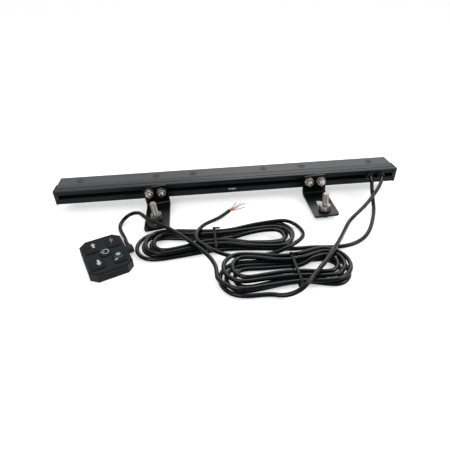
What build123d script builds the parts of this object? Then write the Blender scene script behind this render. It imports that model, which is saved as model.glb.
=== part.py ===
# Roof warning light bar with two roof brackets, a power lead and a key pad on its lead.
# It rests as photographed: level, on its bracket bolts, with the leads tied up beside it.
# X runs along the bar, Y points to the lens side and Z points up. The origin is the middle
# of the mouth of the T-slot on the back face. All sizes are in millimetres and degrees.

import os
from functools import partial
from math import cos, hypot, pi, radians, sin, tan

from build123d import *

os.makedirs("parts", exist_ok=True)

# Light bar
bar_length = 470.0
bar_depth = 40.0
slot_to_top = 9.0
slot_to_base = 11.0
cut_overrun = 1.0
fit_gap = 0.3

# Rear rail
rail_depth = 17.0
rail_edge_radius = 2.0
rail_seam_radius = 0.6
rail_crown = 0.3
groove_inset = 6.5
groove_width = 1.2
groove_depth = 0.8
slot_mouth = 6.6
slot_lip = 2.0
slot_cavity_height = 10.5
slot_cavity_depth = 5.0
slot_nick_width = 5.0
slot_nick_height = 1.0
slot_nick_offset = 1.5
lead_exit_inset = 22.8
lead_exit_spacing = 16.4
lead_bore = 5.6

# Lamp frame, cover and lens
frame_wall = 2.0
cover_thickness = 2.0
cover_edge_radius = 0.8
board_rib_width = 1.5
board_rib_height = 1.5
driver_rib_width = 1.0
lens_thickness = 3.0
lens_edge_radius = 1.0
gasket_thickness = 1.0
gasket_border = 1.6
boss_inset = 9.5
boss_diameter = 6.4
boss_core_diameter = 2.8
boss_core_depth = 11.0
cover_screw_spots_share = (-0.434, -0.215, -0.106, 0.106, 0.223, 0.434)
cover_screw_head = 6.0
cover_screw_shank = 2.6
cover_screw_length = 10.0
cover_screw_recess = 2.4

# Lamp inside
led_count = 12
led_width = 3.6
led_height = 0.9
led_board_thickness = 1.6
led_board_end_gap = 8.0
reflector_throat = 5.6
reflector_mouth = 11.6
driver_length = 80.0
driver_height = 12.0
driver_place = 65.0
driver_coil = 9.0
driver_coil_height = 1.6

# End caps
cap_thickness = 3.0
cap_front_thickness = 1.5
cap_step_inset = 19.0
cap_edge_radius = 2.0
cap_lug_length = 3.0
cap_lug_wall = 2.0
cap_screw_head = 5.2
cap_screw_head_height = 1.6
cap_screw_shank = 2.6
cap_screw_bore = 3.0
cap_screw_length = 9.0
cap_screw_recess = 1.9
cap_screw_rise = 6.5
cap_screw_inset = 12.0

# Cable grommets in the slot
grommet_collar = 9.4
grommet_collar_height = 2.5
grommet_flange = 9.8
grommet_edge_radius = 0.8

# Bracket and its slot fasteners
right_bracket_place = 116.5
left_bracket_place = -101.5
right_roll = 3.0
left_roll = 7.0
bracket_width = 32.0
bracket_thickness = 3.0
bracket_rise = 8.0
bracket_drop = 21.0
bracket_reach = 62.0
bracket_bend_radius = 3.0
bracket_corner_radius = 3.0
stud_spacing = 16.3
stud_diameter = 6.0
stud_hole_width = 6.6
stud_hole_height = 9.4
stud_end = 3.0
tee_head_width = 6.0
tee_head_height = 10.0
tee_head_thickness = 4.0
washer_diameter = 12.0
washer_thickness = 1.2
nut_across_flats = 10.0
nut_height = 5.0

# Roof bolts in the bracket feet
foot_slot_width = 9.0
foot_slot_start = 22.0
foot_slot_end = 56.0
roof_bolt_diameter = 8.0
roof_bolt_length = 28.0
roof_head_flats = 13.0
roof_head_height = 5.3
roof_washer_diameter = 16.0
roof_washer_thickness = 1.6
roof_nut_height = 6.8
left_bolt_place = 42.0
right_bolt_place = 50.0
hex_chamfer = 0.7
bolt_tip_radius = 1.0
thread_play = 0.05

# Key pad
pad_place_x = -154.4
pad_place_y = -106.0
pad_turn = 23.0
pad_width = 48.0
pad_length = 66.0
pad_height = 11.0
pad_base_height = 5.6
pad_corner = 7.5
pad_bevel = 1.4
pad_seam = 0.4
pad_wall = 2.0
pad_skin = 1.8
pad_board_thickness = 1.6
pad_screw_inset = 5.3
pad_pillar_diameter = 6.0
pad_pillar_core = 2.8
pad_screw_shank = 2.4
pad_screw_head = 4.4
pad_screw_head_height = 1.5
pad_screw_length = 8.2
key_proud = 1.0
key_flange = 1.0
key_flange_height = 0.7
key_stem = 3.0
key_travel = 0.8
key_edge_radius = 0.5
key_corner_radius = 2.0
key_width = 14.4
key_length = 18.0
power_key_diameter = 13.6
key_flange_gap = 0.4
upper_key_share = 0.45
lower_key_share = -0.48
side_key_share = 0.51
power_key_share = -0.015
gland_length = 9.0
gland_width = 7.6
gland_height = 7.0
gland_nose = 2.5
gland_nose_diameter = 6.4
gland_edge_radius = 1.2

# Leads
lead_diameter = 4.8
lead_floor_gap = 0.1
wire_diameter = 1.5
wound_pitch = 5.8
wound_layer_step = 5.4
wound_inner_half = 14.6
wound_lift = 1.0
tie_width = 3.2
tie_thickness = 0.8
tie_gap = 0.15
tie_twist_diameter = 3.0
tie_twist_length = 9.0
hank_left = -89.0
hank_right = 43.0
hank_middle_y = -91.8
hank_tie_x = -29.0
hank_waist = 9.0
hank_left_draw = 45.0
hank_right_draw = 60.0
coil_left = -3.0
coil_right = 85.0
coil_middle_y = -155.0
coil_tie_x = 52.0
coil_waist = 5.0
coil_left_draw = 45.0
coil_right_draw = 29.0
coil_start_x = 9.0

# Worked-out places
half_length = bar_length / 2
rail_half = half_length - cap_thickness
lead_exit_right = half_length - lead_exit_inset
lead_exits = [(lead_exit_right, 0), (lead_exit_right - lead_exit_spacing, 0)]
top = slot_to_top
base = -slot_to_base
cover_base = top - cover_thickness
floor_inside = base + frame_wall
boss_y = rail_depth + boss_inset
rib_face = boss_y + boss_diameter / 2 + fit_gap + board_rib_width / 2
lens_back = bar_depth - lens_thickness
gasket_back = lens_back - gasket_thickness
led_face = rib_face + led_board_thickness
head_back = slot_lip + tee_head_thickness
nut_seat = bracket_thickness + washer_thickness
roll_drop = (bracket_drop + roof_head_height) * cos(radians(left_roll))
floor_level = -(roll_drop + roof_head_flats / 2 * sin(radians(left_roll)))


def save(builder, name):
    builder.part.label = name
    export_step(builder.part, f"parts/{name}.step")


# Rear rail: the extrusion with the T-slot that carries the brackets
with BuildPart() as rear_housing:
    with BuildSketch(Plane.YZ.offset(-rail_half)):
        crown_start = (groove_inset + groove_width / 2, top)
        crown_end = (rail_depth - rail_seam_radius, top)
        crown_middle = ((crown_start[0] + crown_end[0]) / 2, top + rail_crown)
        with BuildLine():
            Polyline(
                crown_start,
                (groove_inset + groove_width / 2, top - groove_depth),
                (groove_inset - groove_width / 2, top - groove_depth),
                (groove_inset - groove_width / 2, top),
                (0, top),
                (0, base),
                (rail_depth, base),
                (rail_depth, top - rail_seam_radius),
                crown_end,
            )
            ThreePointArc(crown_end, crown_middle, crown_start)
        make_face()
        fillet(vertices().sort_by(Axis.X)[:2], rail_edge_radius)
        Rectangle(2 * slot_lip, slot_mouth, mode=Mode.SUBTRACT)
        with Locations((slot_lip + slot_cavity_depth / 2, 0)):
            Rectangle(slot_cavity_depth, slot_cavity_height, mode=Mode.SUBTRACT)
    extrude(amount=2 * rail_half)
    with BuildSketch(Plane.XZ.offset(cut_overrun)):
        with Locations((slot_nick_offset, slot_mouth / 2)):
            Rectangle(slot_nick_width, 2 * slot_nick_height)
    extrude(amount=-(slot_lip + cut_overrun + fit_gap), mode=Mode.SUBTRACT)
    with BuildSketch(Plane.XZ):
        with Locations(lead_exits):
            Circle(lead_bore / 2)
    extrude(amount=-(rail_depth + cut_overrun), mode=Mode.SUBTRACT)
    for end_plane in (Plane.YZ.offset(-rail_half), Plane.YZ.offset(rail_half - cap_screw_length)):
        with BuildSketch(end_plane):
            with Locations((cap_screw_inset, cap_screw_rise - fit_gap), (cap_screw_inset, -cap_screw_rise)):
                Circle(cap_screw_bore / 2)
        extrude(amount=cap_screw_length, mode=Mode.SUBTRACT)
save(rear_housing, "rear_housing")

# Lamp frame: rear wall, floor, board ribs and the six screw bosses
with BuildPart() as lamp_frame:
    with BuildSketch(Plane.YZ.offset(-rail_half)):
        wall_top = cover_base
        rib_top = floor_inside + board_rib_height
        driver_back = rail_depth + frame_wall
        with BuildLine():
            Polyline(
                (rail_depth, base),
                (bar_depth, base),
                (bar_depth, floor_inside),
                (rib_face, floor_inside),
                (rib_face, rib_top),
                (rib_face - board_rib_width, rib_top),
                (rib_face - board_rib_width, floor_inside),
                (driver_back + driver_rib_width, floor_inside),
                (driver_back + driver_rib_width, rib_top),
                (driver_back, rib_top),
                (driver_back, wall_top),
                (rail_depth, wall_top),
                close=True,
            )
        make_face()
    extrude(amount=2 * rail_half)
    front_lip = edges().filter_by(Axis.X).group_by(Axis.Z)[0].sort_by(Axis.Y)[-1]
    fillet(front_lip, lens_edge_radius)
    boss_spots = [(share * bar_length, boss_y) for share in cover_screw_spots_share]
    with BuildSketch(Plane.XY.offset(floor_inside)):
        with Locations(boss_spots):
            Circle(boss_diameter / 2)
    extrude(amount=cover_base - floor_inside)
    with BuildSketch(Plane.XY.offset(cover_base)):
        with Locations(boss_spots):
            Circle(boss_core_diameter / 2)
    extrude(amount=-boss_core_depth, mode=Mode.SUBTRACT)
    with BuildSketch(Plane.XZ.offset(-rail_depth)):
        with Locations(lead_exits):
            Circle(lead_bore / 2)
    extrude(amount=-frame_wall, mode=Mode.SUBTRACT)
save(lamp_frame, "lamp_frame")

# Top cover: the flat plate over the lamp, with its countersunk holes
with BuildPart() as top_cover:
    with BuildSketch(Plane.XY.offset(cover_base)):
        with Locations((0, (rail_depth + bar_depth) / 2)):
            Rectangle(2 * rail_half, bar_depth - rail_depth)
    extrude(amount=cover_thickness)
    fillet(edges().filter_by(Axis.X).group_by(Axis.Z)[-1], cover_edge_radius)
    with Locations([(x, y, top) for x, y in boss_spots]):
        CounterSinkHole(
            radius=cover_screw_shank / 2 + fit_gap,
            counter_sink_radius=cover_screw_head / 2 + fit_gap,
            depth=cover_thickness + cut_overrun,
        )
save(top_cover, "top_cover")

# Cover screws: countersunk heads a little below the plate, with a cross recess
with BuildPart() as cover_screws:
    head_radius = cover_screw_head / 2
    shank_radius = cover_screw_shank / 2
    for spot_x, spot_y in boss_spots:
        with BuildSketch(Plane(origin=(spot_x, spot_y, top), x_dir=(1, 0, 0), z_dir=(0, -1, 0))):
            with BuildLine():
                Polyline(
                    (0, 0),
                    (head_radius, 0),
                    (shank_radius, -(head_radius - shank_radius)),
                    (shank_radius, -cover_screw_length),
                    (0, -cover_screw_length),
                    close=True,
                )
            make_face()
        revolve(axis=Axis((spot_x, spot_y, 0), (0, 0, 1)))
    with BuildSketch(Plane.XY.offset(top)):
        with Locations(boss_spots):
            Rectangle(cover_screw_recess, cover_screw_recess / 3)
            Rectangle(cover_screw_recess / 3, cover_screw_recess)
    extrude(amount=-cover_screw_recess / 3, mode=Mode.SUBTRACT)
save(cover_screws, "cover_screws")

# Lens: the clear front window between the floor lip and the cover
with BuildPart() as lens:
    with BuildSketch(Plane.XZ.offset(-lens_back)):
        with Locations((0, (floor_inside + cover_base) / 2)):
            Rectangle(2 * rail_half - fit_gap, cover_base - floor_inside)
    extrude(amount=-lens_thickness)
    fillet(edges().filter_by(Axis.X).group_by(Axis.Y)[-1], lens_edge_radius)
save(lens, "lens")

# Lens gasket: the rubber frame behind the lens
with BuildPart() as lens_gasket:
    with BuildSketch(Plane.XZ.offset(-gasket_back)):
        with Locations((0, (floor_inside + cover_base) / 2)):
            Rectangle(2 * rail_half - 2 * cap_lug_length, cover_base - floor_inside)
            Rectangle(
                2 * rail_half - 2 * cap_lug_length - 2 * gasket_border,
                cover_base - floor_inside - 2 * gasket_border,
                mode=Mode.SUBTRACT,
            )
    extrude(amount=-gasket_thickness)
save(lens_gasket, "lens_gasket")

# Board, lamps and reflector strip in front of the bosses
inner_height = cover_base - floor_inside
lamp_middle = (floor_inside + cover_base) / 2
board_half = rail_half - led_board_end_gap
led_pitch = 2 * board_half / led_count
led_spots = [((index - (led_count - 1) / 2) * led_pitch, lamp_middle) for index in range(led_count)]
with BuildPart() as led_board:
    with BuildSketch(Plane.XZ.offset(-rib_face)):
        with Locations((0, lamp_middle)):
            Rectangle(2 * board_half, inner_height - 2 * fit_gap)
    extrude(amount=-led_board_thickness)
save(led_board, "led_board")

with BuildPart() as leds:
    with BuildSketch(Plane.XZ.offset(-led_face)):
        with Locations(led_spots):
            Rectangle(led_width, led_width)
    extrude(amount=-led_height)
save(leds, "leds")

with BuildPart() as reflectors:
    strip_depth = gasket_back - led_face
    with BuildSketch(Plane.XZ.offset(-led_face)):
        with Locations((0, lamp_middle)):
            Rectangle(2 * board_half, inner_height - 4 * fit_gap)
    extrude(amount=-strip_depth)
    cup_y = led_face + strip_depth / 2
    with Locations([Plane((x, cup_y, z), z_dir=(0, 1, 0)) for x, z in led_spots]):
        Cone(reflector_throat / 2, reflector_mouth / 2, strip_depth, mode=Mode.SUBTRACT)
save(reflectors, "reflectors")

# Driver board against the rear wall
with BuildPart() as driver_board:
    driver_face = rail_depth + frame_wall + driver_rib_width
    board_middle = bar_length * cover_screw_spots_share[4] + driver_place
    with BuildSketch(Plane.XZ.offset(-driver_face)):
        with Locations((board_middle, floor_inside + driver_height / 2 + fit_gap)):
            Rectangle(driver_length, driver_height)
    extrude(amount=-led_board_thickness)
    with BuildSketch(Plane.XZ.offset(-(driver_face + led_board_thickness))):
        with Locations((board_middle, floor_inside + driver_height / 2 + fit_gap)):
            with GridLocations(driver_length / 4, 0, 3, 1):
                RectangleRounded(driver_coil, driver_coil, driver_coil / 4)
    extrude(amount=-driver_coil_height)
save(driver_board, "driver_board")


# End caps: thicker behind, with a lug in the slot and one in the lamp
def end_cap(side, name):
    outer = side * half_length
    with BuildPart() as cap:
        with BuildSketch(Plane.XY.offset(base)):
            step_x = side * (half_length - cap_front_thickness)
            seat_x = side * rail_half
            with BuildLine():
                Polyline(
                    (seat_x, 0),
                    (outer, 0),
                    (outer, cap_step_inset),
                    (step_x, cap_step_inset),
                    (step_x, bar_depth),
                    (seat_x, bar_depth),
                    close=True,
                )
            make_face()
        extrude(amount=top - base)
        fillet(edges().filter_by(Axis.Z).sort_by_distance((outer, 0, 0))[0], cap_edge_radius)
        profile_edges = edges().filter_by(Axis.Y).group_by(Axis.Z)
        rim = ShapeList(profile_edges[0] + profile_edges[-1])
        fillet(rim.filter_by(lambda edge: abs(edge.center().X) > rail_half + cut_overrun), cap_front_thickness / 2)
        with BuildSketch(Plane.YZ.offset(seat_x)):
            with Locations((slot_lip / 2, 0)):
                Rectangle(slot_lip, slot_mouth - fit_gap)
            with Locations((slot_lip + slot_cavity_depth / 2, 0)):
                Rectangle(slot_cavity_depth - 2 * fit_gap, slot_cavity_height - 2 * fit_gap)
        extrude(amount=-side * cap_lug_length)
        lug_low = floor_inside + board_rib_height + fit_gap
        lug_back = rail_depth + frame_wall + fit_gap
        with BuildSketch(Plane.YZ.offset(seat_x)):
            with Locations(((lug_back + gasket_back - fit_gap) / 2, (lug_low + cover_base - fit_gap) / 2)):
                Rectangle(gasket_back - fit_gap - lug_back, cover_base - fit_gap - lug_low)
                Rectangle(
                    gasket_back - fit_gap - lug_back - 2 * cap_lug_wall,
                    cover_base - fit_gap - lug_low - 2 * cap_lug_wall,
                    mode=Mode.SUBTRACT,
                )
        extrude(amount=-side * cap_lug_length)
        hole_plane = Plane(origin=(outer, 0, 0), x_dir=(0, 1, 0), z_dir=(1, 0, 0))
        for diameter, depth in ((cap_screw_bore, cap_thickness), (cap_screw_head + fit_gap, cap_screw_recess)):
            with BuildSketch(hole_plane):
                with Locations((cap_screw_inset, cap_screw_rise - fit_gap), (cap_screw_inset, -cap_screw_rise)):
                    Circle(diameter / 2)
            extrude(amount=-side * depth, mode=Mode.SUBTRACT)
    save(cap, name)


end_cap(1, "end_cap_right")
end_cap(-1, "end_cap_left")

# End cap screws: pan heads sunk in the caps
with BuildPart() as end_cap_screws:
    for side in (1, -1):
        seat = side * (half_length - cap_screw_recess)
        for rise in (cap_screw_rise - fit_gap, -cap_screw_rise):
            with BuildSketch(Plane.YZ.offset(seat)):
                with Locations((cap_screw_inset, rise)):
                    Circle(cap_screw_head / 2)
            extrude(amount=side * cap_screw_head_height)
            with BuildSketch(Plane.YZ.offset(seat)):
                with Locations((cap_screw_inset, rise)):
                    Circle(cap_screw_shank / 2)
            extrude(amount=-side * (cap_screw_length - cap_screw_head_height))
save(end_cap_screws, "end_cap_screws")

# Cable grommets: a collar outside, a neck in the mouth, a flange and a stem inside
with BuildPart() as cable_grommets:
    neck_radius = (slot_mouth - fit_gap) / 2
    stem_radius = (lead_bore - fit_gap) / 2
    collar_radius = grommet_collar / 2
    flange_radius = grommet_flange / 2
    flange_end = slot_lip + slot_cavity_depth - fit_gap
    for spot_x, _ in lead_exits:
        with BuildSketch(Plane(origin=(spot_x, 0, 0), x_dir=(1, 0, 0), z_dir=(0, 0, 1))):
            with BuildLine():
                Polyline(
                    (0, -grommet_collar_height),
                    (collar_radius - grommet_edge_radius, -grommet_collar_height),
                    (collar_radius, -grommet_collar_height + grommet_edge_radius),
                    (collar_radius, 0),
                    (neck_radius, 0),
                    (neck_radius, slot_lip + fit_gap),
                    (flange_radius, slot_lip + fit_gap),
                    (flange_radius, flange_end),
                    (stem_radius, flange_end),
                    (stem_radius, rail_depth),
                    (0, rail_depth),
                    close=True,
                )
            make_face()
        revolve(axis=Axis((spot_x, 0, 0), (0, 1, 0)))
save(cable_grommets, "cable_grommets")


# A bracket's own planes: across its plate, and up from its foot
def plate_plane(place, roll):
    return Plane(origin=(place, 0, 0), x_dir=(cos(radians(roll)), 0, sin(radians(roll))), z_dir=(0, -1, 0))


def foot_plane(place, roll, height, reach):
    up = Vector(-sin(radians(roll)), 0, cos(radians(roll)))
    return Plane(origin=Vector(place, -reach, 0) + up * height, x_dir=(0, -1, 0), z_dir=up)


def bracket(place, roll, name):
    plate = plate_plane(place, roll)
    across = plate.x_dir
    side_plane = Plane(origin=plate.origin, x_dir=(0, -1, 0), z_dir=-across)
    with BuildPart() as angle:
        with BuildSketch(side_plane):
            with BuildLine():
                Polyline(
                    (0, bracket_rise),
                    (0, -bracket_drop),
                    (bracket_reach, -bracket_drop),
                    (bracket_reach, -bracket_drop + bracket_thickness),
                    (bracket_thickness, -bracket_drop + bracket_thickness),
                    (bracket_thickness, bracket_rise),
                    close=True,
                )
            make_face()
            heel = vertices().sort_by_distance((0, -bracket_drop))[0]
            fillet(heel, bracket_bend_radius + bracket_thickness)
            inner_corner = (bracket_thickness, -bracket_drop + bracket_thickness)
            fillet(vertices().sort_by_distance(inner_corner)[0], bracket_bend_radius)
        extrude(amount=bracket_width / 2, both=True)
        short = edges().filter_by(lambda edge: edge.length < bracket_thickness + thread_play)
        top_corners = short.filter_by(Axis.Y)
        foot_corners = short.filter_by(Axis((0, 0, 0), plate.y_dir))
        fillet(top_corners + foot_corners, bracket_corner_radius)
        with BuildSketch(plate.offset(-cut_overrun)):
            with Locations((-stud_spacing / 2, 0), (stud_spacing / 2, 0)):
                SlotOverall(stud_hole_height, stud_hole_width, rotation=90)
        extrude(amount=bracket_thickness + 2 * cut_overrun, mode=Mode.SUBTRACT)
        slot_middle = (foot_slot_start + foot_slot_end) / 2
        with BuildSketch(foot_plane(place, roll, -bracket_drop - cut_overrun, slot_middle)):
            SlotOverall(foot_slot_end - foot_slot_start, foot_slot_width)
        extrude(amount=bracket_thickness + 2 * cut_overrun, mode=Mode.SUBTRACT)
    save(angle, name)


def slot_fasteners(place, side):
    stud_spots = (place - stud_spacing / 2, place + stud_spacing / 2)
    outer_end = nut_seat + nut_height + stud_end
    with BuildPart() as tee_bolts:
        with BuildSketch(Plane.XZ.offset(-slot_lip)):
            with Locations([(x, 0) for x in stud_spots]):
                Rectangle(tee_head_width, tee_head_height)
        extrude(amount=-tee_head_thickness)
        for x in stud_spots:
            with BuildSketch(Plane(origin=(x, 0, 0), x_dir=(1, 0, 0), z_dir=(0, 0, 1))):
                with BuildLine():
                    stud_tip = Polyline(
                        (0, head_back),
                        (stud_diameter / 2, head_back),
                        (stud_diameter / 2, -(outer_end - bolt_tip_radius)),
                    )
                    tip_middle = (
                        stud_diameter / 2 - bolt_tip_radius * (1 - sin(pi / 4)),
                        -(outer_end - bolt_tip_radius * (1 - sin(pi / 4))),
                    )
                    ThreePointArc(stud_tip @ 1, tip_middle, (stud_diameter / 2 - bolt_tip_radius, -outer_end))
                    Polyline((stud_diameter / 2 - bolt_tip_radius, -outer_end), (0, -outer_end), (0, head_back))
                make_face()
            revolve(axis=Axis((x, 0, 0), (0, 1, 0)))
    save(tee_bolts, f"{side}_tee_bolts")
    with BuildPart() as washers:
        with BuildSketch(Plane.XZ.offset(bracket_thickness)):
            with Locations([(x, 0) for x in stud_spots]):
                Circle(washer_diameter / 2)
                Circle(stud_diameter / 2 + thread_play, mode=Mode.SUBTRACT)
        extrude(amount=washer_thickness)
    save(washers, f"{side}_washers")
    with BuildPart() as nuts:
        for x in stud_spots:
            plane = Plane(origin=(x, 0, 0), x_dir=(0, 0, 1), z_dir=(0, -1, 0))
            with BuildSketch(plane.offset(nut_seat)):
                RegularPolygon(radius=nut_across_flats / 2, side_count=6, major_radius=False)
            extrude(amount=nut_height)
        chamfer(faces().sort_by(Axis.Y)[:2].edges(), hex_chamfer, hex_chamfer / 2)
        with BuildSketch(Plane.XZ.offset(nut_seat)):
            with Locations([(x, 0) for x in stud_spots]):
                Circle(stud_diameter / 2 + thread_play)
        extrude(amount=nut_height, mode=Mode.SUBTRACT)
    save(nuts, f"{side}_nuts")


def roof_fasteners(place, roll, reach, side):
    seat = -bracket_drop
    shelf = seat + bracket_thickness
    tip = seat + roof_bolt_length
    stem = roof_bolt_diameter / 2
    axle = foot_plane(place, roll, 0, reach)
    with BuildPart() as bolt:
        with BuildSketch(axle.offset(seat)):
            RegularPolygon(radius=roof_head_flats / 2, side_count=6, major_radius=False)
        extrude(amount=-roof_head_height)
        lower_face = faces().sort_by(Axis(axle.origin, axle.z_dir))[0]
        chamfer(lower_face.edges(), hex_chamfer / 2, hex_chamfer)
        with BuildSketch(axle.offset(seat)):
            Circle(stem)
        extrude(amount=roof_bolt_length)
        fillet(faces().sort_by(Axis(axle.origin, axle.z_dir))[-1].edges(), bolt_tip_radius)
    save(bolt, f"{side}_roof_bolt")
    with BuildPart() as washer:
        with BuildSketch(axle.offset(shelf)):
            Circle(roof_washer_diameter / 2)
            Circle(stem + thread_play, mode=Mode.SUBTRACT)
        extrude(amount=roof_washer_thickness)
    save(washer, f"{side}_roof_washer")
    with BuildPart() as nut:
        with BuildSketch(axle.offset(shelf + roof_washer_thickness)):
            RegularPolygon(radius=roof_head_flats / 2, side_count=6, major_radius=False)
        extrude(amount=roof_nut_height)
        upper_face = faces().sort_by(Axis(axle.origin, axle.z_dir))[-1]
        chamfer(upper_face.edges(), hex_chamfer, hex_chamfer / 2)
        with BuildSketch(axle.offset(shelf + roof_washer_thickness)):
            Circle(stem + thread_play)
        extrude(amount=roof_nut_height, mode=Mode.SUBTRACT)
    save(nut, f"{side}_roof_nut")


for side, place, roll, reach in (
    ("left", left_bracket_place, left_roll, left_bolt_place),
    ("right", right_bracket_place, right_roll, right_bolt_place),
):
    bracket(place, roll, f"{side}_bracket")
    slot_fasteners(place, side)
    roof_fasteners(place, roll, reach, side)

# Key pad: all its pieces stand on one turned plane
pad_turn_rad = radians(pad_turn)
pad_plane = Plane(
    origin=(pad_place_x, pad_place_y, floor_level),
    x_dir=(cos(pad_turn_rad), sin(pad_turn_rad), 0),
    z_dir=(0, 0, 1),
)
pad_board_low = pad_base_height - pad_board_thickness
pad_ceiling = pad_height - pad_skin
side_key_x = side_key_share * pad_width / 2
upper_key_y = upper_key_share * pad_length / 2
lower_key_y = lower_key_share * pad_length / 2
power_key_y = power_key_share * pad_length / 2
pillar_x = pad_width / 2 - pad_screw_inset
pillar_y = pad_length / 2 - pad_screw_inset
notch_radius = power_key_diameter / 2 + 2 * key_flange + key_flange_gap
pillar_spots = [
    (-pillar_x, power_key_y),
    (pillar_x, power_key_y),
    (0, -pillar_y),
    (0, pillar_y),
]
corner_keys = {
    "key_up": (-side_key_x, upper_key_y),
    "key_down": (-side_key_x, lower_key_y),
    "key_mode": (side_key_x, upper_key_y),
    "key_brightness": (side_key_x, lower_key_y),
}


def corner_key_outline(key_x, key_y, grow=0):
    RectangleRounded(key_width + 2 * grow, key_length + 2 * grow, key_corner_radius + grow)
    with Locations((-key_x, power_key_y - key_y)):
        Circle(notch_radius - grow, mode=Mode.SUBTRACT)


def pad_outline(inset=0):
    cut = pad_corner - inset * (2 - 2 * tan(pi / 8))
    half_x = pad_width / 2 - inset
    half_y = pad_length / 2 - inset
    corners = [
        (half_x, half_y - cut),
        (half_x - cut, half_y),
        (-half_x + cut, half_y),
        (-half_x, half_y - cut),
        (-half_x, -half_y + cut),
        (-half_x + cut, -half_y),
        (half_x - cut, -half_y),
        (half_x, -half_y + cut),
    ]
    Polygon(*corners, align=None)


with BuildPart() as keypad_base:
    with BuildSketch(pad_plane):
        pad_outline()
    extrude(amount=pad_base_height)
    chamfer(faces().sort_by(Axis.Z)[-1].edges(), pad_seam)
    with BuildSketch(pad_plane.offset(pad_skin)):
        pad_outline(pad_wall)
    extrude(amount=pad_base_height, mode=Mode.SUBTRACT)
    with BuildSketch(pad_plane):
        with Locations(pillar_spots):
            Circle(pad_pillar_diameter / 2)
    extrude(amount=pad_board_low)
    with BuildSketch(pad_plane):
        with Locations(pillar_spots):
            Circle(pad_pillar_core / 2)
    extrude(amount=pad_board_low, mode=Mode.SUBTRACT)
    with BuildSketch(pad_plane):
        with Locations(pillar_spots):
            Circle(pad_screw_head / 2 + fit_gap)
    extrude(amount=pad_skin, mode=Mode.SUBTRACT)
save(keypad_base, "keypad_base")

with BuildPart() as keypad_board:
    with BuildSketch(pad_plane.offset(pad_board_low)):
        pad_outline(pad_wall + fit_gap)
        with Locations(pillar_spots):
            Circle(pad_pillar_core / 2, mode=Mode.SUBTRACT)
    extrude(amount=pad_board_thickness)
save(keypad_board, "keypad_board")

with BuildPart() as keypad_cover:
    with BuildSketch(pad_plane.offset(pad_base_height)):
        pad_outline()
    extrude(amount=pad_height - pad_base_height)
    chamfer(faces().sort_by(Axis.Z)[-1].edges(), pad_bevel)
    chamfer(faces().sort_by(Axis.Z)[0].edges(), pad_seam)
    with BuildSketch(pad_plane.offset(pad_base_height)):
        pad_outline(pad_wall)
    extrude(amount=pad_ceiling - pad_base_height, mode=Mode.SUBTRACT)
    with BuildSketch(pad_plane.offset(pad_base_height)):
        with Locations(pillar_spots):
            Circle(pad_pillar_diameter / 2)
    extrude(amount=pad_ceiling - pad_base_height)
    with BuildSketch(pad_plane.offset(pad_base_height)):
        with Locations(pillar_spots):
            Circle(pad_pillar_core / 2)
    extrude(amount=pad_ceiling - pad_base_height, mode=Mode.SUBTRACT)
    with BuildSketch(pad_plane.offset(pad_ceiling)):
        with Locations((0, power_key_y)):
            Circle(power_key_diameter / 2 + fit_gap)
    extrude(amount=pad_skin, mode=Mode.SUBTRACT)
    for key_x, key_y in corner_keys.values():
        with BuildSketch(pad_plane.offset(pad_ceiling)):
            with Locations((key_x, key_y)):
                corner_key_outline(key_x, key_y, fit_gap)
        extrude(amount=pad_skin, mode=Mode.SUBTRACT)
save(keypad_cover, "keypad_cover")

with BuildPart() as keypad_screws:
    head_base = pad_skin - pad_screw_head_height
    with BuildSketch(pad_plane.offset(head_base)):
        with Locations(pillar_spots):
            Circle(pad_screw_head / 2)
    extrude(amount=pad_screw_head_height)
    with BuildSketch(pad_plane.offset(head_base)):
        with Locations(pillar_spots):
            Circle(pad_screw_shank / 2)
    extrude(amount=pad_screw_length)
save(keypad_screws, "keypad_screws")


def key_cap(name, key_x, key_y, outline):
    flange_top = pad_ceiling - thread_play
    with BuildPart() as key:
        with BuildSketch(pad_plane.offset(flange_top - key_flange_height)):
            with Locations((key_x, key_y)):
                outline(0)
        extrude(amount=key_flange_height + pad_skin + key_proud)
        fillet(faces().sort_by(Axis.Z)[-1].edges(), key_edge_radius)
        with BuildSketch(pad_plane.offset(flange_top - key_flange_height)):
            with Locations((key_x, key_y)):
                outline(key_flange)
        extrude(amount=key_flange_height)
        stem_end = pad_base_height + key_travel + fit_gap
        with BuildSketch(pad_plane.offset(stem_end)):
            with Locations((key_x, key_y)):
                Circle(key_stem / 2)
        extrude(amount=flange_top - key_flange_height - stem_end)
    save(key, name)


for key_name, (key_x, key_y) in corner_keys.items():
    key_cap(key_name, key_x, key_y, partial(corner_key_outline, key_x, key_y))
key_cap("key_power", 0, power_key_y, lambda grow: Circle(power_key_diameter / 2 + grow))

# Strain relief on the pad's right wall: the lead leaves it along the wall
gland_plane = Plane(
    origin=pad_plane.from_local_coords((pad_width / 2, 0, pad_base_height)),
    x_dir=pad_plane.y_dir,
    z_dir=pad_plane.x_dir,
)
with BuildPart() as keypad_gland:
    with BuildSketch(gland_plane):
        RectangleRounded(gland_length, gland_height, gland_edge_radius)
    extrude(amount=gland_width)
    outer_rim = faces().sort_by(Axis(gland_plane.origin, gland_plane.z_dir))[-1]
    fillet(outer_rim.edges(), gland_edge_radius / 2)
    nose_plane = Plane(
        origin=gland_plane.from_local_coords((0, 0, gland_width / 2)), x_dir=(0, 0, 1), z_dir=pad_plane.y_dir
    )
    with BuildSketch(nose_plane):
        Circle(gland_nose_diameter / 2)
    extrude(amount=gland_length / 2 + gland_nose)
save(keypad_gland, "keypad_gland")

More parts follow.
